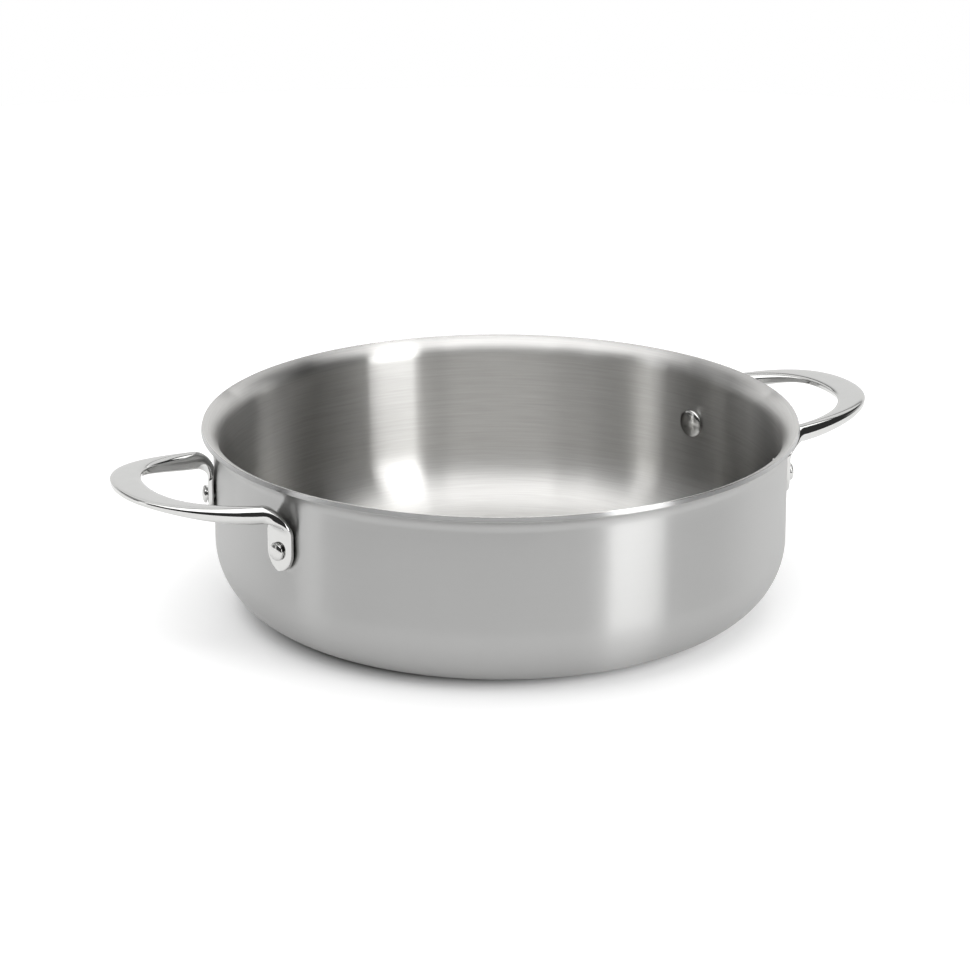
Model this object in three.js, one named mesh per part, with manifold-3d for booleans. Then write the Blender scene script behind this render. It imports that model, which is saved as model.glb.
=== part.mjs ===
// A low casserole pot of clad stainless steel, with two polished loop handles, each held by two rivets.
// Lengths are in millimetres and angles in degrees. Z is up, and the origin is the centre of the
// underside of the base. The handles lie on the X axis, and the front of the pot faces -Y.
import * as THREE from "three";
import { LoftGeometry } from "three/addons/geometries/LoftGeometry.js";
import { mergeVertices } from "three/addons/utils/BufferGeometryUtils.js";
import Module from "manifold-3d";

// Body
const WALL_DIAMETER = 268.4; // outside of the upright wall
const POT_HEIGHT = 88.2; // table to the top of the lip
const BASE_CORNER_RADIUS = 33.4; // outside, where the base turns up into the wall
const LIP_RADIUS = 7.4; // outside, where the wall flares into the pouring lip
const LIP_TURN = 75; // how far the lip turns outwards

// Plies of the sheet, from the outside in
const SHELL_THICKNESS = 0.5;
const CORE_THICKNESS = 1.5;
const LINER_THICKNESS = 0.5;
const BOND_GAP = 0.02;

// Handles
const HANDLE_DROP = 13.9; // top of the lip to the centre of the arms at the bend
const HANDLE_PROJECTION = 55.8; // wall to the outer edge of the bow
const TOP_RISE = 2.8; // how much higher the flat top is at the tip than at the bend
const ARM_TOE_IN = 7; // how far the arms lean in towards each other as they leave the bend
const ARM_LEAD = 22.7; // how far the arms keep the direction of the bend
const BOW_SPREAD = 29.6; // how far the bow keeps its direction to each side of the tip
const ARM_DIAMETER = 8.4; // the arms are round
const BOW_WIDTH = 14.6; // the bow is hammered flat
const BOW_THICKNESS = 3.2;
const BEND_RADIUS = 9; // on the centre line
const PAD_WIDTH = 16;
const PAD_THICKNESS = 3;
const PAD_BELOW_RIVET = 9.4; // rivet to the rounded foot of the pad
const FOOT_FLAT = 2; // straight stretch at the very foot of the pad
const RIVET_BELOW_BEND = 8.7; // start of the bend to the rivet

// Rivets
const RIVET_SPACING = 85; // straight across, at the outside of the wall
const SHANK_DIAMETER = 6;
const INNER_HEAD_DIAMETER = 13.8;
const INNER_HEAD_HEIGHT = 2.6;
const OUTER_HEAD_DIAMETER = 8.4;
const OUTER_HEAD_HEIGHT = 2.3;
const HEAD_EDGE = 0.7; // upright edge below the dome of a head

// Clearances
const SEAT_GAP = 0.3; // between a pad or a rivet head and what it sits on
const SHANK_CLEARANCE = 0.3; // all round a shank in its holes
const CUT_OVERRUN = 1; // how far a cutter runs past what it cuts

// Squareness of the handle's sections: 2 is an ellipse, and higher is closer to a rectangle
const ARM_SQUARENESS = 2;
const BOW_SQUARENESS = 5;
const PAD_SQUARENESS = 4;

// Share of the way from a bend to the tip at which the bow is down to its thickness
const FLAT_SHARE = 0.8;

// Fineness of the facets
const WALL_FACETS = 56;
const CORNER_FACETS = 5;
const LIP_FACETS = 4;
const SECTION_POINTS = 16;
const FOOT_STEPS = 5;
const BEND_STEPS = 6;
const BOW_STEPS = 12; // from a bend to the tip
const RIVET_FACETS = 16;
const DOME_FACETS = 3;
const WELD = 1e-3; // vertices closer than this are one

// Derived places on the body
const RIGHT_ANGLE = Math.PI / 2;
const wallRadius = WALL_DIAMETER / 2;
const sheet = SHELL_THICKNESS + CORE_THICKNESS + LINER_THICKNESS + 2 * BOND_GAP;
const lipTurn = THREE.MathUtils.degToRad(LIP_TURN);
const lipStart = POT_HEIGHT - (LIP_RADIUS + sheet) * Math.sin(Math.min(lipTurn, RIGHT_ANGLE));
const facetShrink = Math.cos(Math.PI / WALL_FACETS); // middle of a facet against its corners

// Derived places on a handle, measured from the axis of the pot and from the table
const armHeight = POT_HEIGHT - HANDLE_DROP;
const bendStart = armHeight - BEND_RADIUS;
const rivetHeight = bendStart - RIVET_BELOW_BEND;
const rivetAngle = Math.asin(RIVET_SPACING / 2 / wallRadius);
const padBack = wallRadius + SEAT_GAP;
const padFace = padBack + PAD_THICKNESS;
const padDepth = padFace - acrossFlat(padBack * facetShrink, PAD_WIDTH / 2);
const tipReach = wallRadius + HANDLE_PROJECTION - BOW_WIDTH / 2;
const armToeIn = THREE.MathUtils.degToRad(ARM_TOE_IN);

// Derived places on a rivet, measured from the axis of the pot
const innerHeadRadius = INNER_HEAD_DIAMETER / 2;
const innerSeatRadius = linerRadiusAt(rivetHeight - innerHeadRadius) * facetShrink;
const innerSeat = acrossFlat(innerSeatRadius, innerHeadRadius) - SEAT_GAP;
const outerSeat = padFace + SEAT_GAP;
const shankHole = SHANK_DIAMETER / 2 + SHANK_CLEARANCE;

const UP = new THREE.Vector3(0, 0, 1);

const wasm = await Module();
wasm.setup();

// How far from the axis a round of the given radius is, at a distance to the side of its middle.
function acrossFlat(radius, aside) {
  return Math.sqrt(radius ** 2 - aside ** 2);
}

// How far from the axis the inside of the pot is at a height below the lip.
function linerRadiusAt(height) {
  const belowCorner = Math.max(BASE_CORNER_RADIUS - height, 0);
  return wallRadius - BASE_CORNER_RADIUS + acrossFlat(BASE_CORNER_RADIUS - sheet, belowCorner);
}

// A closed geometry as a solid that can be cut.
function solidFrom(geometry) {
  const bare = geometry.toNonIndexed();
  bare.deleteAttribute("normal");
  bare.deleteAttribute("uv");
  const merged = mergeVertices(bare, WELD);
  const mesh = new wasm.Mesh({
    numProp: 3,
    vertProperties: merged.attributes.position.array,
    triVerts: new Uint32Array(merged.index.array),
  });
  return new wasm.Manifold(mesh);
}

// A cut solid as a geometry again.
function geometryFrom(solid) {
  const { vertProperties, triVerts } = solid.getMesh();
  const geometry = new THREE.BufferGeometry();
  geometry.setAttribute("position", new THREE.BufferAttribute(vertProperties, 3));
  geometry.setIndex(new THREE.BufferAttribute(triVerts, 1));
  geometry.computeVertexNormals();
  return geometry;
}

// A geometry made around Y, stood up around Z.
function upright(geometry) {
  return geometry.rotateX(RIGHT_ANGLE);
}

// The turn that lays a geometry made along Y along the axis of a rivet.
function rivetTurn(angle) {
  return angle - RIGHT_ANGLE;
}

// The cutter for one rivet's holes through the wall and the pad.
function rivetHole(angle) {
  const from = innerSeat - CUT_OVERRUN;
  const to = outerSeat + CUT_OVERRUN;
  const hole = new THREE.CylinderGeometry(shankHole, shankHole, to - from, RIVET_FACETS);
  hole.translate(0, (from + to) / 2, 0);
  hole.rotateZ(rivetTurn(angle));
  hole.translate(0, 0, rivetHeight);
  return solidFrom(hole);
}

// The line of the sheet at a depth below its outside, from the axis to the edge of the lip.
function sheetLine(depth) {
  const line = [new THREE.Vector2(0, depth)];
  const cornerRadius = BASE_CORNER_RADIUS - depth;
  for (let i = 0; i <= CORNER_FACETS; i++) {
    const turn = (i / CORNER_FACETS) * RIGHT_ANGLE;
    const reach = wallRadius - BASE_CORNER_RADIUS + cornerRadius * Math.sin(turn);
    line.push(new THREE.Vector2(reach, BASE_CORNER_RADIUS - cornerRadius * Math.cos(turn)));
  }
  const lipRadius = LIP_RADIUS + depth;
  for (let i = 0; i <= LIP_FACETS; i++) {
    const turn = (i / LIP_FACETS) * lipTurn;
    const reach = wallRadius + LIP_RADIUS - lipRadius * Math.cos(turn);
    line.push(new THREE.Vector2(reach, lipStart + lipRadius * Math.sin(turn)));
  }
  return line;
}

// One ply of the body, with the holes for the four rivets.
function ply(outerDepth, thickness) {
  const profile = [...sheetLine(outerDepth), ...sheetLine(outerDepth + thickness).reverse()];
  let solid = solidFrom(upright(new THREE.LatheGeometry(profile, WALL_FACETS)));
  for (const handleAngle of [0, Math.PI]) {
    solid = solid.subtract(rivetHole(handleAngle + rivetAngle));
    solid = solid.subtract(rivetHole(handleAngle - rivetAngle));
  }
  return geometryFrom(solid);
}

// One half of the handle on +X, as stations from the foot of a pad to the tip of the bow.
function halfHandle(side) {
  const outward = new THREE.Vector3(Math.cos(rivetAngle), side * Math.sin(rivetAngle), 0);
  const heading = new THREE.Vector3(Math.cos(armToeIn), -side * Math.sin(armToeIn), 0);
  const padAcross = new THREE.Vector3().crossVectors(UP, outward).multiplyScalar(-side);
  const armAcross = new THREE.Vector3().crossVectors(UP, heading).multiplyScalar(-side);
  const pad = { width: PAD_WIDTH, thickness: padDepth, squareness: PAD_SQUARENESS };
  const arm = { width: ARM_DIAMETER, thickness: ARM_DIAMETER, squareness: ARM_SQUARENESS };
  const bow = { width: BOW_WIDTH, thickness: BOW_THICKNESS, squareness: BOW_SQUARENESS };
  const stations = [];

  const padMiddle = outward.clone().multiplyScalar(padFace - padDepth / 2);
  const footTurn = Math.acos(FOOT_FLAT / PAD_WIDTH);
  for (let i = 0; i <= FOOT_STEPS; i++) {
    const turn = footTurn * (1 - i / FOOT_STEPS);
    const centre = padMiddle.clone().setZ(rivetHeight - PAD_BELOW_RIVET * Math.sin(turn));
    stations.push({ ...pad, centre, across: padAcross, width: PAD_WIDTH * Math.cos(turn) });
  }

  for (let i = 0; i <= BEND_STEPS; i++) {
    const share = i / BEND_STEPS;
    const turn = share * RIGHT_ANGLE;
    const centre = padMiddle.clone().addScaledVector(heading, BEND_RADIUS * (1 - Math.cos(turn)));
    centre.z = bendStart + BEND_RADIUS * Math.sin(turn);
    const across = padAcross.clone().lerp(armAcross, share);
    stations.push({ ...blend(pad, arm, share), centre, across });
  }

  const bendTop = stations.at(-1).centre.clone().setZ(armHeight + ARM_DIAMETER / 2);
  const tipTop = new THREE.Vector3(tipReach, 0, bendTop.z + TOP_RISE);
  const slope = TOP_RISE / (tipTop.x - bendTop.x);
  const bowUp = new THREE.Vector3(-slope, 0, 1).normalize();
  const lead = bendTop.clone().addScaledVector(heading, ARM_LEAD);
  lead.z += slope * (lead.x - bendTop.x);
  const spread = tipTop.clone().setY(side * BOW_SPREAD);
  const topLine = new THREE.CubicBezierCurve3(bendTop, lead, spread, tipTop);
  for (let i = 1; i <= BOW_STEPS; i++) {
    const share = i / BOW_STEPS;
    const section = blend(arm, bow, share, share / FLAT_SHARE);
    const centre = topLine.getPoint(share).addScaledVector(bowUp, -section.thickness / 2);
    const across = bowUp.clone().cross(topLine.getTangent(share)).multiplyScalar(-side);
    stations.push({ ...section, centre, across });
  }
  return stations;
}

// A section part of the way from one to another, with an even start and end.
function blend(from, to, share, thinShare = share) {
  const eased = THREE.MathUtils.smoothstep(share, 0, 1);
  const thinned = THREE.MathUtils.smoothstep(thinShare, 0, 1);
  return {
    width: THREE.MathUtils.lerp(from.width, to.width, eased),
    thickness: THREE.MathUtils.lerp(from.thickness, to.thickness, thinned),
    squareness: THREE.MathUtils.lerp(from.squareness, to.squareness, eased),
  };
}

// The outline of the handle at one station, square to the way the handle runs there.
function sectionRing(station, along) {
  const through = along.clone().cross(station.across).normalize();
  const across = through.clone().cross(along).normalize();
  const flatten = (part) => Math.sign(part) * Math.abs(part) ** (2 / station.squareness);
  const ring = [];
  for (let i = 0; i < SECTION_POINTS; i++) {
    const turn = (i / SECTION_POINTS) * 2 * Math.PI;
    const point = station.centre.clone();
    point.addScaledVector(across, flatten(Math.cos(turn)) * (station.width / 2));
    point.addScaledVector(through, flatten(Math.sin(turn)) * (station.thickness / 2));
    ring.push(point);
  }
  return ring;
}

// A loop handle on +X: two pads shaped to the wall, two arms and a flat bow.
function handle() {
  const stations = [...halfHandle(-1), ...halfHandle(1).reverse().slice(1)];
  const rings = stations.map((station, i) => {
    const before = stations[Math.max(i - 1, 0)].centre;
    const after = stations[Math.min(i + 1, stations.length - 1)].centre;
    return sectionRing(station, after.clone().sub(before));
  });
  const loop = solidFrom(new LoftGeometry(rings, { capStart: true, capEnd: true }));

  const wallBottom = rivetHeight - PAD_BELOW_RIVET - CUT_OVERRUN;
  const wall = new THREE.CylinderGeometry(padBack, padBack, lipStart - wallBottom, WALL_FACETS);
  upright(wall).translate(0, 0, (wallBottom + lipStart) / 2);
  const seated = loop.subtract(solidFrom(wall));
  return geometryFrom(seated.subtract(rivetHole(rivetAngle)).subtract(rivetHole(-rivetAngle)));
}

// The domed face of a rivet head, from its upright edge to the axis.
function headDome(seat, direction, headRadius, headHeight) {
  const dome = [new THREE.Vector2(headRadius, seat)];
  for (let i = 0; i <= DOME_FACETS; i++) {
    const turn = (i / DOME_FACETS) * RIGHT_ANGLE;
    const rise = HEAD_EDGE + (headHeight - HEAD_EDGE) * Math.sin(turn);
    const reach = i < DOME_FACETS ? headRadius * Math.cos(turn) : 0;
    dome.push(new THREE.Vector2(reach, seat + direction * rise));
  }
  return dome;
}

// A rivet along +Y, from its wide head inside the pot to its small head on the pad.
function rivet() {
  const shankRadius = SHANK_DIAMETER / 2;
  const profile = [
    ...headDome(innerSeat, -1, innerHeadRadius, INNER_HEAD_HEIGHT).reverse(),
    new THREE.Vector2(shankRadius, innerSeat),
    new THREE.Vector2(shankRadius, outerSeat),
    ...headDome(outerSeat, 1, OUTER_HEAD_DIAMETER / 2, OUTER_HEAD_HEIGHT),
  ];
  return geometryFrom(solidFrom(new THREE.LatheGeometry(profile, RIVET_FACETS)));
}

const satinSteel = new THREE.MeshStandardMaterial({ color: 0xb4b4b2, roughness: 0.38, metalness: 1 });
const brushedSteel = new THREE.MeshStandardMaterial({ color: 0xacaca9, roughness: 0.32, metalness: 1 });
const polishedSteel = new THREE.MeshStandardMaterial({ color: 0xd4d4d1, roughness: 0.06, metalness: 1 });
const aluminium = new THREE.MeshStandardMaterial({ color: 0xc6c8ca, roughness: 0.45, metalness: 1 });

function named(name, geometry, material) {
  const mesh = new THREE.Mesh(geometry, material);
  mesh.name = name;
  return mesh;
}

const pot = new THREE.Group();
pot.name = "casserole_pot";
const coreDepth = SHELL_THICKNESS + BOND_GAP;
const linerDepth = coreDepth + CORE_THICKNESS + BOND_GAP;
pot.add(named("outer_shell", ply(0, SHELL_THICKNESS), satinSteel));
pot.add(named("aluminium_core", ply(coreDepth, CORE_THICKNESS), aluminium));
pot.add(named("inner_liner", ply(linerDepth, LINER_THICKNESS), brushedSteel));

const handleSides = [
  { side: "right", turn: 0, rivets: { front: -rivetAngle, rear: rivetAngle } },
  { side: "left", turn: Math.PI, rivets: { front: rivetAngle, rear: -rivetAngle } },
];
for (const { side, turn, rivets } of handleSides) {
  const assembly = new THREE.Group();
  assembly.rotation.z = turn;
  assembly.add(named(`handle_${side}`, handle(), polishedSteel));
  for (const [end, angle] of Object.entries(rivets)) {
    const fastener = named(`rivet_${side}_${end}`, rivet(), polishedSteel);
    fastener.rotation.z = rivetTurn(angle);
    fastener.position.z = rivetHeight;
    assembly.add(fastener);
  }
  pot.add(assembly);
}

export default pot;
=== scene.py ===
"""The looks of a low casserole pot of clad stainless steel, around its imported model.

Lengths are in metres. Z is up, the handles lie on the X axis, and the front of the pot faces -Y.
"""

import math

import bmesh
import bpy
from mathutils import Matrix, Vector


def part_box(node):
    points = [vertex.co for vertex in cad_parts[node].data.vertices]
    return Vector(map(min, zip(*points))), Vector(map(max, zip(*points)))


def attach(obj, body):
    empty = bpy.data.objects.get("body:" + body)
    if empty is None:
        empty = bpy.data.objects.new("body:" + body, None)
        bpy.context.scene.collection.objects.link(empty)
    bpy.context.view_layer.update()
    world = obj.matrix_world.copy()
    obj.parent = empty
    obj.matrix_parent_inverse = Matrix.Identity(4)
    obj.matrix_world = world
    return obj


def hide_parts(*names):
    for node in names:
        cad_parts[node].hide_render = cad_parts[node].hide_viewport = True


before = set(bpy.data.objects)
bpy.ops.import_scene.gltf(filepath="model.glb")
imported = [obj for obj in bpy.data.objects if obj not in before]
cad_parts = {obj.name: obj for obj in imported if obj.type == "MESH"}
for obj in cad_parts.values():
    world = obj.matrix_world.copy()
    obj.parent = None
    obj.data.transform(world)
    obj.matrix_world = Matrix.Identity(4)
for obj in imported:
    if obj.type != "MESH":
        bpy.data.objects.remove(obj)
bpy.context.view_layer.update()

# Body, from the outside of the sheet
POT_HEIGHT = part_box("inner_liner")[1].z
WALL_RADIUS = 0.1342
BASE_CORNER = 0.0334
LIP_RADIUS = 0.0074
LIP_TURN = math.radians(75)
RIGHT_ANGLE = math.pi / 2

# Plies of the sheet, from the outside in
SHELL_THICKNESS = 0.0005
CORE_THICKNESS = 0.0015
LINER_THICKNESS = 0.0005
BOND_GAP = 0.00002
CORE_DEPTH = SHELL_THICKNESS + BOND_GAP
LINER_DEPTH = CORE_DEPTH + CORE_THICKNESS + BOND_GAP
SHEET = LINER_DEPTH + LINER_THICKNESS
LIP_EASE = 0.0003  # rounding of the cut edge of the lip
LIP_START = POT_HEIGHT - (LIP_RADIUS + SHEET) * math.sin(LIP_TURN)

# Handles
HANDLE_DROP = 0.0139  # top of the lip to the centre of the arms at the bend
ARM_HEIGHT = POT_HEIGHT - HANDLE_DROP
HANDLE_PROJECTION = 0.0558
TOP_RISE = 0.0028
ARM_TOE_IN = math.radians(7)
ARM_LEAD = 0.0227
BOW_SPREAD = 0.0296
ARM_DIAMETER = 0.0084
BOW_WIDTH = 0.0146
BOW_THICKNESS = 0.0032
FLAT_SHARE = 0.8
BEND_RADIUS = 0.009
PAD_WIDTH = 0.016
PAD_THICKNESS = 0.003
PAD_BELOW_RIVET = 0.0094
FOOT_FLAT = 0.002
RIVET_BELOW_BEND = 0.0087
SEAT_GAP = 0.0003
ARM_SQUARENESS = 2.0
BOW_SQUARENESS = 5.0
PAD_SQUARENESS = 4.0
BEND_START = ARM_HEIGHT - BEND_RADIUS
PAD_BACK = WALL_RADIUS + SEAT_GAP
PAD_FACE = PAD_BACK + PAD_THICKNESS
PAD_DEPTH = PAD_FACE - math.sqrt(PAD_BACK**2 - (PAD_WIDTH / 2) ** 2)
TIP_REACH = WALL_RADIUS + HANDLE_PROJECTION - BOW_WIDTH / 2

# Rivets
RIVET_HEIGHT = BEND_START - RIVET_BELOW_BEND
RIVET_SPACING = 0.085  # straight across, at the outside of the wall
RIVET_ANGLE = math.asin(RIVET_SPACING / 2 / WALL_RADIUS)
SHANK_RADIUS = 0.003
INNER_HEAD_RADIUS = 0.0069
INNER_HEAD_HEIGHT = 0.0026
OUTER_HEAD_RADIUS = 0.0042
OUTER_HEAD_HEIGHT = 0.0023
HEAD_EDGE = 0.0007
INNER_SEAT = math.sqrt((WALL_RADIUS - SHEET) ** 2 - INNER_HEAD_RADIUS**2) - SEAT_GAP
OUTER_SEAT = PAD_FACE + SEAT_GAP

# Fineness of the meshes
ROUND_STEPS = 240
FLOOR_STEPS = 12
WALL_STEPS = 10
CORNER_STEPS = 24
LIP_STEPS = 14
EASE_STEPS = 3
ROUND_PROFILE = 0.5
SECTION_POINTS = 64
FOOT_STEPS = 14
PAD_STEPS = 6
BEND_STEPS = 20
BOW_STEPS = 56
RIVET_STEPS = 48
STRAIGHT_STEPS = 2
DOME_STEPS = 10
SHARP_ANGLE = math.radians(40)
WELD = 1e-6

# The photograph's view
VIEW_AZIMUTH = math.radians(-25.5)
VIEW_ELEVATION = math.radians(17.795)
VIEW_DISTANCE = 1.68  # to the middle of the rim
SENSOR_WIDTH = 36  # millimetres
IMAGE_LONG_SIDE = 971  # pixels, as are the next three
FOCAL_PIXELS = 3594.5
RIM_RIGHT_OF_MIDDLE = 15.35
RIM_ABOVE_MIDDLE = 67.16

UP = Vector((0, 0, 1))
TO_CAMERA = Vector((math.sin(VIEW_AZIMUTH), -math.cos(VIEW_AZIMUTH), 0))
CAMERA_RIGHT = Vector((math.cos(VIEW_AZIMUTH), math.sin(VIEW_AZIMUTH), 0))


# Meshes

def piece_from(bm, name, replaced, material):
    """Turns a finished mesh into a piece that stands for a CAD node."""
    bmesh.ops.remove_doubles(bm, verts=bm.verts[:], dist=WELD)
    bmesh.ops.recalc_face_normals(bm, faces=bm.faces[:])
    mesh = bpy.data.meshes.new(name)
    bm.to_mesh(mesh)
    bm.free()
    mesh.shade_smooth()
    mesh.set_sharp_from_angle(angle=SHARP_ANGLE)
    mesh.materials.append(material)
    piece = bpy.data.objects.new(name, mesh)
    bpy.context.scene.collection.objects.link(piece)
    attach(piece, "root")
    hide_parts(replaced)


def line_to(bm, vert, end, steps=1):
    """Draws a straight line of edges on from a vertex, and gives its last vertex."""
    stride = (Vector(end) - vert.co) / steps
    for _ in range(steps):
        vert = bmesh.ops.extrude_vert_indiv(bm, verts=[vert])["verts"][0]
        vert.co += stride
    return vert


def arc_on(bm, vert, centre, angle, steps):
    """Draws an arc of edges on from a vertex in the XZ plane, and gives its last vertex."""
    made = bmesh.ops.spin(bm, geom=[vert], cent=centre, axis=(0, 1, 0), angle=angle, steps=steps)
    return next(g for g in made["geom_last"] if isinstance(g, bmesh.types.BMVert))


def ply_mesh(outer_depth, thickness):
    """One ply of the sheet: its line out to the lip and back, spun round the axis of the pot."""
    bm = bmesh.new()
    corner = Vector((WALL_RADIUS - BASE_CORNER, 0, BASE_CORNER))
    lip = Vector((WALL_RADIUS + LIP_RADIUS, 0, LIP_START))
    inner_depth = outer_depth + thickness

    vert = bm.verts.new((0, 0, outer_depth))
    vert = line_to(bm, vert, (corner.x, 0, outer_depth), FLOOR_STEPS)
    vert = arc_on(bm, vert, corner, -RIGHT_ANGLE, CORNER_STEPS)
    vert = line_to(bm, vert, (WALL_RADIUS - outer_depth, 0, LIP_START), WALL_STEPS)
    vert = arc_on(bm, vert, lip, LIP_TURN, LIP_STEPS)
    edge_from = vert.co.copy()
    across = Vector((-math.cos(LIP_TURN), 0, math.sin(LIP_TURN)))
    vert = line_to(bm, vert, vert.co + across * thickness)
    edge_to = vert.co.copy()
    vert = arc_on(bm, vert, lip, -LIP_TURN, LIP_STEPS)
    vert = line_to(bm, vert, (WALL_RADIUS - inner_depth, 0, corner.z), WALL_STEPS)
    vert = arc_on(bm, vert, corner, RIGHT_ANGLE, CORNER_STEPS)
    line_to(bm, vert, (0, 0, inner_depth), FLOOR_STEPS)

    bmesh.ops.spin(
        bm, geom=bm.verts[:] + bm.edges[:], cent=(0, 0, 0), axis=UP,
        angle=2 * math.pi, steps=ROUND_STEPS, use_merge=True,
    )
    bmesh.ops.remove_doubles(bm, verts=bm.verts[:], dist=WELD)
    return bm, edge_from, edge_to


def ease_lip(bm, edge_point):
    """Rounds the ring of edges that passes through a point of the lip's cut edge."""
    reach = edge_point.x
    ring = [
        e for e in bm.edges
        if all(abs(v.co.z - edge_point.z) < WELD and abs(v.co.xy.length - reach) < WELD for v in e.verts)
    ]
    bmesh.ops.bevel(
        bm, geom=ring, offset=LIP_EASE, affect="EDGES", segments=EASE_STEPS, profile=ROUND_PROFILE,
        material=-1,
    )


def outer_shell(material):
    """The ply outside, with the lower edge of the lip eased."""
    bm, lower_edge, _ = ply_mesh(0, SHELL_THICKNESS)
    ease_lip(bm, lower_edge)
    piece_from(bm, "satin_shell", "outer_shell", material)


def aluminium_core(material):
    """The ply between the two of steel."""
    bm, _, _ = ply_mesh(CORE_DEPTH, CORE_THICKNESS)
    piece_from(bm, "core_sheet", "aluminium_core", material)


def inner_liner(material):
    """The ply inside, with the upper edge of the lip eased."""
    bm, _, upper_edge = ply_mesh(LINER_DEPTH, LINER_THICKNESS)
    ease_lip(bm, upper_edge)
    piece_from(bm, "brushed_liner", "inner_liner", material)


def smooth(share):
    """A share from 0 to 1 that starts and ends gently."""
    share = min(max(share, 0.0), 1.0)
    return share * share * (3 - 2 * share)


def between(start, end, share):
    """A value part of the way from one to another."""
    return start + (end - start) * share


def section(width, thickness, squareness):
    """A section of a handle: an ellipse at a squareness of 2, and boxier above it."""
    return {"width": width, "thickness": thickness, "squareness": squareness}


def blended(start, end, share, thin_share=None):
    """A section part of the way from one to another, with a share of its own for the thickness."""
    eased = smooth(share)
    thinned = eased if thin_share is None else smooth(thin_share)
    return section(
        between(start["width"], end["width"], eased),
        between(start["thickness"], end["thickness"], thinned),
        between(start["squareness"], end["squareness"], eased),
    )


def half_handle(side):
    """Half of the handle on +X: a section, its centre and its width's direction, from foot to tip."""
    outward = Vector((math.cos(RIVET_ANGLE), side * math.sin(RIVET_ANGLE), 0))
    heading = Vector((math.cos(ARM_TOE_IN), -side * math.sin(ARM_TOE_IN), 0))
    pad_across = UP.cross(outward) * -side
    arm_across = UP.cross(heading) * -side
    pad = section(PAD_WIDTH, PAD_DEPTH, PAD_SQUARENESS)
    arm = section(ARM_DIAMETER, ARM_DIAMETER, ARM_SQUARENESS)
    bow = section(BOW_WIDTH, BOW_THICKNESS, BOW_SQUARENESS)
    stations = []

    pad_middle = outward * (PAD_FACE - PAD_DEPTH / 2)
    foot_turn = math.acos(FOOT_FLAT / PAD_WIDTH)
    for i in range(FOOT_STEPS + 1):
        turn = foot_turn * (1 - i / FOOT_STEPS)
        centre = pad_middle + UP * (RIVET_HEIGHT - PAD_BELOW_RIVET * math.sin(turn))
        stations.append((section(PAD_WIDTH * math.cos(turn), PAD_DEPTH, PAD_SQUARENESS), centre, pad_across))
    for i in range(1, PAD_STEPS):
        centre = pad_middle + UP * between(RIVET_HEIGHT, BEND_START, i / PAD_STEPS)
        stations.append((pad, centre, pad_across))

    for i in range(BEND_STEPS + 1):
        share = i / BEND_STEPS
        turn = share * RIGHT_ANGLE
        centre = pad_middle + heading * BEND_RADIUS * (1 - math.cos(turn))
        centre.z = BEND_START + BEND_RADIUS * math.sin(turn)
        stations.append((blended(pad, arm, share), centre, pad_across.lerp(arm_across, share)))

    bend_top = stations[-1][1] + UP * ARM_DIAMETER / 2
    tip_top = Vector((TIP_REACH, 0, bend_top.z + TOP_RISE))
    slope = TOP_RISE / (tip_top.x - bend_top.x)
    bow_up = Vector((-slope, 0, 1)).normalized()
    lead = bend_top + heading * ARM_LEAD
    lead.z += slope * (lead.x - bend_top.x)
    spread = tip_top + Vector((0, side * BOW_SPREAD, 0))
    for i in range(1, BOW_STEPS + 1):
        share = i / BOW_STEPS
        rest = 1 - share
        top = (
            bend_top * rest**3 + lead * 3 * share * rest**2
            + spread * 3 * share**2 * rest + tip_top * share**3
        )
        along = (
            (lead - bend_top) * rest**2 + (spread - lead) * 2 * share * rest
            + (tip_top - spread) * share**2
        )
        shape = blended(arm, bow, share, share / FLAT_SHARE)
        centre = top - bow_up * shape["thickness"] / 2
        stations.append((shape, centre, bow_up.cross(along) * -side))
    return stations


def section_ring(bm, shape, centre, across, along):
    """One section of a handle as a ring of edges, square to the way the handle runs there."""
    through = along.cross(across).normalized()
    across = through.cross(along).normalized()
    ring = bmesh.ops.create_circle(bm, segments=SECTION_POINTS, radius=1)["verts"]
    power = 2 / shape["squareness"]
    for vert in ring:
        vert.co.x = math.copysign(abs(vert.co.x) ** power, vert.co.x) * shape["width"] / 2
        vert.co.y = math.copysign(abs(vert.co.y) ** power, vert.co.y) * shape["thickness"] / 2
    placed = Matrix((across, through, along.normalized())).transposed().to_4x4()
    placed.translation = centre
    bmesh.ops.transform(bm, matrix=placed, verts=ring)
    return list({e for v in ring for e in v.link_edges})


def handle(side_name, turn, material):
    """A loop handle, with its pads laid against the wall."""
    bm = bmesh.new()
    stations = half_handle(-1) + half_handle(1)[-2::-1]
    rings = []
    for i, (shape, centre, across) in enumerate(stations):
        before = stations[max(i - 1, 0)][1]
        after = stations[min(i + 1, len(stations) - 1)][1]
        rings.append(section_ring(bm, shape, centre, across, after - before))
    for ring, following in zip(rings, rings[1:]):
        bmesh.ops.bridge_loops(bm, edges=ring + following)
    for end in (rings[0], rings[-1]):
        bmesh.ops.contextual_create(bm, geom=end)
    for vert in bm.verts:
        reach = vert.co.xy.length
        if reach < PAD_BACK:
            vert.co.xy *= PAD_BACK / reach
    bmesh.ops.rotate(bm, verts=bm.verts[:], cent=(0, 0, 0), matrix=Matrix.Rotation(turn, 3, "Z"))
    piece_from(bm, f"polished_handle_{side_name}", f"handle_{side_name}", material)


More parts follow.
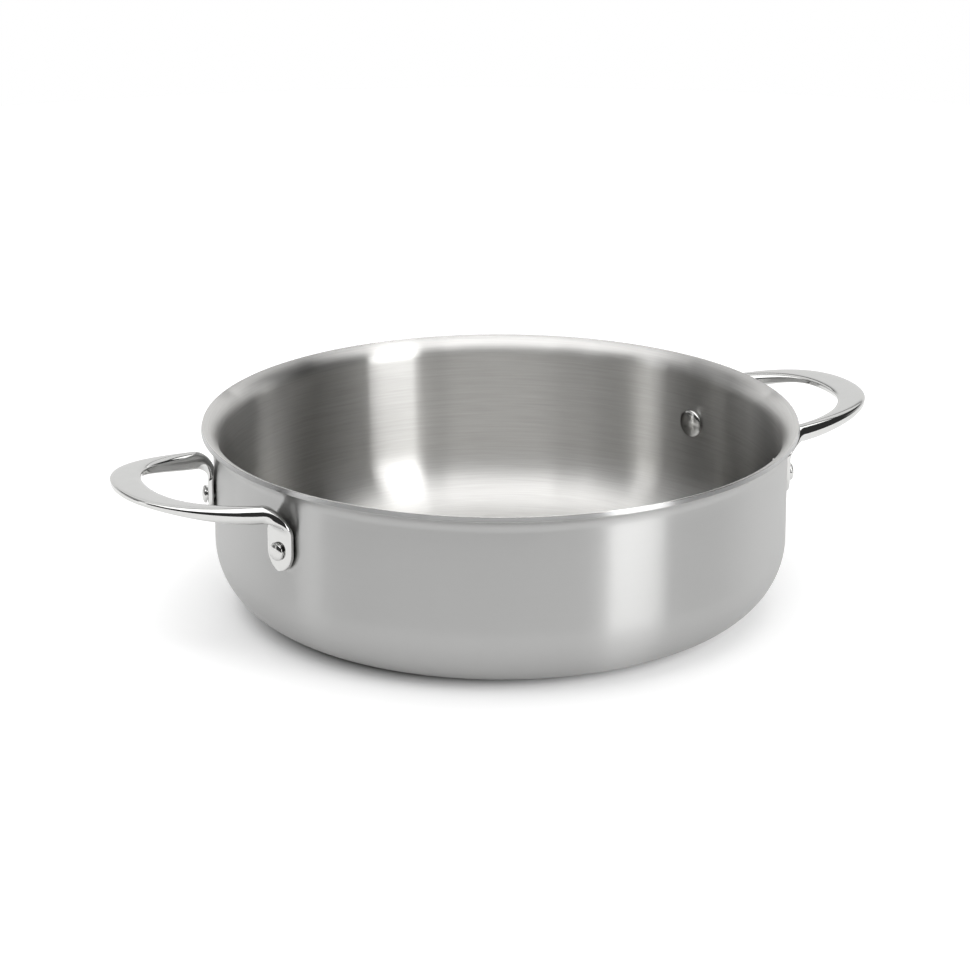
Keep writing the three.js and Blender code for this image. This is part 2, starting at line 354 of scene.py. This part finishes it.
def head_to_axis(bm, vert, seat, direction, radius, height):
    """Draws on from the foot of a rivet's shank round a domed head to the axis."""
    vert = line_to(bm, vert, (seat, 0, radius), STRAIGHT_STEPS)
    vert = line_to(bm, vert, (seat + direction * HEAD_EDGE, 0, radius), STRAIGHT_STEPS)
    dome = height - HEAD_EDGE
    for i in range(1, DOME_STEPS + 1):
        turn = RIGHT_ANGLE * i / DOME_STEPS
        rise = HEAD_EDGE + dome * math.sin(turn)
        vert = line_to(bm, vert, (seat + direction * rise, 0, radius * math.cos(turn)))


def rivet(name, angle, material):
    """A set rivet, from its wide head inside the pot to its small head on a pad."""
    bm = bmesh.new()
    middle = (INNER_SEAT + OUTER_SEAT) / 2
    inner = bm.verts.new((middle, 0, SHANK_RADIUS))
    outer = line_to(bm, inner, (OUTER_SEAT, 0, SHANK_RADIUS), STRAIGHT_STEPS)
    inner = line_to(bm, inner, (INNER_SEAT, 0, SHANK_RADIUS), STRAIGHT_STEPS)
    head_to_axis(bm, inner, INNER_SEAT, -1, INNER_HEAD_RADIUS, INNER_HEAD_HEIGHT)
    head_to_axis(bm, outer, OUTER_SEAT, 1, OUTER_HEAD_RADIUS, OUTER_HEAD_HEIGHT)
    bmesh.ops.spin(
        bm, geom=bm.verts[:] + bm.edges[:], cent=(0, 0, 0), axis=(1, 0, 0),
        angle=2 * math.pi, steps=RIVET_STEPS, use_merge=True,
    )
    bmesh.ops.rotate(bm, verts=bm.verts[:], cent=(0, 0, 0), matrix=Matrix.Rotation(angle, 3, "Z"))
    bmesh.ops.translate(bm, verts=bm.verts[:], vec=(0, 0, RIVET_HEIGHT))
    piece_from(bm, f"polished_{name}", name, material)


# Materials

WHITE = (1, 1, 1, 1)
POLISHED_DARK = (0.55, 0.55, 0.54, 1)
POLISHED_LIGHT = (0.59, 0.59, 0.58, 1)
POLISH_MARKS = 160.0  # to a metre
POLISH_DETAIL = 3.0
BRUSH_DETAIL = 2.0
BRUSH_GRAIN = 0.6
ROUGHNESS_SPREAD = 0.03  # from line to line, to each side
UP_THE_WALL = 0.25  # of a turn, from the way the brush ran


def add(tree, kind, inputs=None, **properties):
    """A new node, with its sockets set or linked and its properties set."""
    made = tree.nodes.new(kind)
    for name, value in properties.items():
        setattr(made, name, value)
    for socket, value in (inputs or {}).items():
        if isinstance(value, bpy.types.NodeSocket):
            tree.links.new(value, made.inputs[socket])
        else:
            made.inputs[socket].default_value = value
    return made


def new_material(name):
    """A material with an empty tree and its output node."""
    material = bpy.data.materials.new(name)
    material.use_nodes = True
    material.node_tree.nodes.clear()
    return material, material.node_tree, add(material.node_tree, "ShaderNodeOutputMaterial")


def scaled(tree, value, low, high, start=0.0, end=1.0):
    """A value that runs from start to end as one that runs from low to high."""
    return add(tree, "ShaderNodeMapRange", {
        "Value": value, "From Min": start, "From Max": end, "To Min": low, "To Max": high,
    }).outputs["Result"]


def brush_lines(tree, line_width, line_length):
    """Noise in streaks that run round the pot, of a width up the sheet and a length along it."""
    place = add(tree, "ShaderNodeTexCoord").outputs["Object"]
    flat = add(tree, "ShaderNodeVectorMath", {0: place, 1: (1, 1, 0)}, operation="MULTIPLY").outputs["Vector"]
    reach = add(tree, "ShaderNodeVectorMath", {0: flat}, operation="LENGTH").outputs["Value"]
    round_pot = add(tree, "ShaderNodeVectorMath", {0: flat}, operation="NORMALIZE").outputs["Vector"]
    height = add(tree, "ShaderNodeSeparateXYZ", {"Vector": place}).outputs["Z"]
    up_sheet = add(tree, "ShaderNodeMath", {0: reach, 1: height}, operation="ADD").outputs["Value"]
    lines = add(tree, "ShaderNodeMath", {0: up_sheet, 1: 1 / line_width}, operation="MULTIPLY").outputs["Value"]
    along = add(
        tree, "ShaderNodeVectorMath", {0: round_pot, "Scale": WALL_RADIUS / line_length}, operation="SCALE",
    ).outputs["Vector"]
    upward = add(tree, "ShaderNodeCombineXYZ", {"Z": lines}).outputs["Vector"]
    where = add(tree, "ShaderNodeVectorMath", {0: along, 1: upward}, operation="ADD").outputs["Vector"]
    return add(tree, "ShaderNodeTexNoise", {
        "Vector": where, "Scale": 1.0, "Detail": BRUSH_DETAIL, "Roughness": BRUSH_GRAIN,
    }).outputs["Fac"]


def uneven(tree, lines, roughness):
    """A roughness that differs a little from line to line."""
    return scaled(tree, lines, roughness * (1 - ROUGHNESS_SPREAD), roughness * (1 + ROUGHNESS_SPREAD))


def brushed_steel(
    name, dark, light, line_width, line_length, relief, broad_roughness, roughness, anisotropy, share,
):
    """Stainless steel brushed round the pot, whose reflections are drawn out up and down the wall.

    It reflects in two ways: broadly, and more sharply with an anisotropy and a share of the light.
    """
    material, tree, output = new_material(name)
    lines = brush_lines(tree, line_width, line_length)
    colour = add(
        tree, "ShaderNodeMix", {"Factor": lines, "A": dark, "B": light}, data_type="RGBA",
    ).outputs["Result"]
    bump = add(
        tree, "ShaderNodeBump", {"Height": lines, "Strength": 1.0, "Distance": relief},
    ).outputs["Normal"]
    round_pot = add(tree, "ShaderNodeTangent", direction_type="RADIAL", axis="Z").outputs["Tangent"]
    broad = add(tree, "ShaderNodeBsdfPrincipled", {
        "Base Color": colour,
        "Metallic": 1.0,
        "Roughness": uneven(tree, lines, broad_roughness),
        "Anisotropic": 1.0,
        "Anisotropic Rotation": UP_THE_WALL,
        "Tangent": round_pot,
        "Normal": bump,
    })
    drawn_out = add(tree, "ShaderNodeBsdfAnisotropic", {
        "Color": colour,
        "Roughness": uneven(tree, lines, roughness),
        "Anisotropy": anisotropy,
        "Tangent": round_pot,
        "Normal": bump,
    })
    steel = add(tree, "ShaderNodeMixShader", {
        "Fac": share, 1: broad.outputs["BSDF"], 2: drawn_out.outputs["BSDF"],
    })
    tree.links.new(steel.outputs["Shader"], output.inputs["Surface"])
    return material


def polished_steel(name, sharp, hazy):
    """Polished stainless steel, with a roughness that runs from sharp to hazy as the wheel left it."""
    material, tree, output = new_material(name)
    place = add(tree, "ShaderNodeTexCoord").outputs["Object"]
    haze = add(tree, "ShaderNodeTexNoise", {"Vector": place, "Scale": POLISH_MARKS, "Detail": POLISH_DETAIL})
    colour = add(
        tree, "ShaderNodeMix",
        {"Factor": haze.outputs["Fac"], "A": POLISHED_DARK, "B": POLISHED_LIGHT},
        data_type="RGBA",
    )
    steel = add(tree, "ShaderNodeBsdfPrincipled", {
        "Base Color": colour.outputs["Result"],
        "Metallic": 1.0,
        "Roughness": scaled(tree, haze.outputs["Fac"], sharp, hazy),
    })
    tree.links.new(steel.outputs["BSDF"], output.inputs["Surface"])
    return material


# Studio

TABLE_RADIUS = 1.1
TABLE_SIDES = 96
TABLE_COLOUR = (0.7, 0.7, 0.7, 1)
TABLE_GLOW_AND_PAINTED_SHADE = ((0.106, 0.0), (0.12, 0.4), (0.2, 0.56), (0.5, 0.56), (0.9, 1.0))  # distances and glow levels; low near the pot, a painted shade round it
PAINTED_SHADE_SHIFT = -0.006  # of the painted shade under the pot, away from the key light
BACKDROP_SIDES = 0.8  # of its brightness behind the pot
BACKDROP_EDGE = (0.05, 0.5)  # where the sides fade in, as cosines of the angle from straight behind
BACKDROP_MIDDLE = (0.45, 0.85)  # where the rest fades in
BACKDROP_TOP = (0.4, 0.5)  # where it fades out, as sines of the elevation
ROOM_GREY = (0.045, 0.045, 0.045, 1)


def seen_by_eye_or_metal(tree):
    """1 for rays that show the background itself, straight or in metal or glass, and 0 for its light."""
    path = add(tree, "ShaderNodeLightPath")
    either = add(
        tree, "ShaderNodeMath",
        {0: path.outputs["Is Camera Ray"], 1: path.outputs["Is Glossy Ray"]}, operation="MAXIMUM",
    )
    return add(
        tree, "ShaderNodeMath",
        {0: either.outputs["Value"], 1: path.outputs["Is Transmission Ray"]}, operation="MAXIMUM",
    ).outputs["Value"]


def floor():
    """A pale table that keeps the pot's shadow and is white away from it; its glow is ramped down near the pot,
    a painted shade on top of the cast shadow.
    """
    bm = bmesh.new()
    bmesh.ops.create_circle(bm, cap_ends=True, segments=TABLE_SIDES, radius=TABLE_RADIUS)
    mesh = bpy.data.meshes.new("floor")
    bm.to_mesh(mesh)
    bm.free()
    material, tree, output = new_material("pale_table")
    paper = add(tree, "ShaderNodeBsdfDiffuse", {"Color": TABLE_COLOUR})
    place = add(tree, "ShaderNodeTexCoord").outputs["Object"]
    from_painted_shade = add(
        tree, "ShaderNodeVectorMath", {0: place, 1: CAMERA_RIGHT * PAINTED_SHADE_SHIFT}, operation="SUBTRACT",
    ).outputs["Vector"]
    reach = add(tree, "ShaderNodeVectorMath", {0: from_painted_shade}, operation="LENGTH").outputs["Value"]
    # Painted shade: the glow is low near the pot and rises outwards, centred a little away from the key light.
    ramp = add(tree, "ShaderNodeValToRGB", {"Fac": reach})
    stops = ramp.color_ramp.elements
    for i, (distance, level) in enumerate(TABLE_GLOW_AND_PAINTED_SHADE):
        stop = stops[i] if i < len(stops) else stops.new(distance)
        stop.position = distance
        stop.color = (level, level, level, 1)
    strength = add(
        tree, "ShaderNodeMath",
        {0: seen_by_eye_or_metal(tree), 1: ramp.outputs["Color"]}, operation="MULTIPLY",
    )
    glow = add(tree, "ShaderNodeEmission", {"Color": WHITE, "Strength": strength.outputs["Value"]})
    both = add(tree, "ShaderNodeAddShader", {0: paper.outputs["BSDF"], 1: glow.outputs["Emission"]})
    tree.links.new(both.outputs["Shader"], output.inputs["Surface"])
    mesh.materials.append(material)
    table = bpy.data.objects.new("floor", mesh)
    bpy.context.scene.collection.objects.link(table)


def softbox(name, azimuth, reach, rise, width, height, radiance, aim):
    """An area light of an even brightness, at an azimuth to the right of the camera's.

    It faces the axis of the pot at the height of its aim.
    """
    turn = math.radians(azimuth)
    place = (TO_CAMERA * math.cos(turn) + CAMERA_RIGHT * math.sin(turn)) * reach + UP * rise
    light = bpy.data.lights.new(name, "AREA")
    light.shape = "RECTANGLE"
    light.size = width
    light.size_y = height
    light.energy = radiance * math.pi * width * height
    lamp = bpy.data.objects.new(name, light)
    lamp.location = place
    lamp.rotation_euler = (UP * aim - place).to_track_quat("-Z", "Y").to_euler()
    bpy.context.scene.collection.objects.link(lamp)


def studio_world():
    """A dim room with a white backdrop behind the pot."""
    world = bpy.data.worlds.new("studio")
    bpy.context.scene.world = world
    world.use_nodes = True
    tree = world.node_tree
    tree.nodes.clear()
    way = add(tree, "ShaderNodeTexCoord").outputs["Generated"]
    behind = add(
        tree, "ShaderNodeVectorMath", {0: way, 1: -TO_CAMERA}, operation="DOT_PRODUCT",
    ).outputs["Value"]
    sides = scaled(tree, behind, 0.0, BACKDROP_SIDES, *BACKDROP_EDGE)
    middle = scaled(tree, behind, 0.0, 1 - BACKDROP_SIDES, *BACKDROP_MIDDLE)
    behind = add(tree, "ShaderNodeMath", {0: sides, 1: middle}, operation="ADD").outputs["Value"]
    rise = add(tree, "ShaderNodeSeparateXYZ", {"Vector": way}).outputs["Z"]
    low = scaled(tree, rise, 1.0, 0.0, *BACKDROP_TOP)
    backdrop = add(tree, "ShaderNodeMath", {0: behind, 1: low}, operation="MULTIPLY").outputs["Value"]
    seen = add(tree, "ShaderNodeLightPath").outputs["Is Camera Ray"]
    white = add(tree, "ShaderNodeMath", {0: backdrop, 1: seen}, operation="MAXIMUM").outputs["Value"]
    colour = add(tree, "ShaderNodeMix", {"Factor": white, "A": ROOM_GREY, "B": WHITE}, data_type="RGBA")
    light = add(tree, "ShaderNodeBackground", {"Color": colour.outputs["Result"], "Strength": 1.0})
    output = add(tree, "ShaderNodeOutputWorld")
    tree.links.new(light.outputs["Background"], output.inputs["Surface"])


def camera():
    """The photograph's camera, which sees the rim a little above the middle of the picture."""
    rim = Vector((0, 0, POT_HEIGHT))
    back = TO_CAMERA * math.cos(VIEW_ELEVATION) + UP * math.sin(VIEW_ELEVATION)
    picture_up = back.cross(CAMERA_RIGHT)
    pixel = VIEW_DISTANCE / FOCAL_PIXELS
    aim = rim - CAMERA_RIGHT * RIM_RIGHT_OF_MIDDLE * pixel - picture_up * RIM_ABOVE_MIDDLE * pixel
    data = bpy.data.cameras.new("camera")
    data.sensor_width = SENSOR_WIDTH
    data.lens = FOCAL_PIXELS * SENSOR_WIDTH / IMAGE_LONG_SIDE
    made = bpy.data.objects.new("camera", data)
    made.location = rim + back * VIEW_DISTANCE
    made.rotation_euler = (aim - made.location).to_track_quat("-Z", "Y").to_euler()
    bpy.context.scene.collection.objects.link(made)
    bpy.context.scene.camera = made


camera()
floor()
studio_world()
softbox("overhead", azimuth=0, reach=0.1, rise=1.15, width=1.6, height=1.35, radiance=2.0, aim=POT_HEIGHT)
softbox("front_top", azimuth=0, reach=0.7, rise=1.05, width=0.85, height=0.4, radiance=1.0, aim=POT_HEIGHT)
softbox("back", azimuth=180, reach=0.95, rise=0.95, width=1.4, height=0.6, radiance=1.0, aim=POT_HEIGHT)
softbox("left", azimuth=-92, reach=0.85, rise=0.75, width=0.9, height=0.8, radiance=0.4, aim=POT_HEIGHT)
softbox("key", azimuth=50, reach=0.8, rise=0.45, width=0.31, height=0.7, radiance=4.2, aim=0.45)
softbox("side_strip", azimuth=-73, reach=0.8, rise=0.4, width=0.15, height=0.8, radiance=0.8, aim=0.4)

satin = brushed_steel(
    "satin_outside", dark=(0.47, 0.47, 0.465, 1), light=(0.485, 0.485, 0.48, 1),
    line_width=0.0003, line_length=0.05, relief=0.0,
    broad_roughness=0.36, roughness=0.29, anisotropy=0.72, share=0.7,
)
brushed = brushed_steel(
    "brushed_inside", dark=(0.55, 0.545, 0.53, 1), light=(0.74, 0.735, 0.72, 1),
    line_width=0.0009, line_length=0.03, relief=0.00003,
    broad_roughness=0.3, roughness=0.21, anisotropy=0.873, share=0.73,
)
rolled = brushed_steel(
    "rolled_core", dark=(0.54, 0.54, 0.54, 1), light=(0.58, 0.58, 0.58, 1),
    line_width=0.0004, line_length=0.02, relief=0.0,
    broad_roughness=0.36, roughness=0.33, anisotropy=0.75, share=0.5,
)
polished = polished_steel("polished_handle", sharp=0.05, hazy=0.09)
dulled = polished_steel("dulled_rivet", sharp=0.13, hazy=0.18)
outer_shell(satin)
aluminium_core(rolled)
inner_liner(brushed)
for side_name, turn, front in (("right", 0.0, -1), ("left", math.pi, 1)):
    handle(side_name, turn, polished)
    rivet(f"rivet_{side_name}_front", turn + front * RIVET_ANGLE, dulled)
    rivet(f"rivet_{side_name}_rear", turn - front * RIVET_ANGLE, dulled)

bpy.context.scene.view_settings.view_transform = "Standard"

bpy.context.view_layer.update()
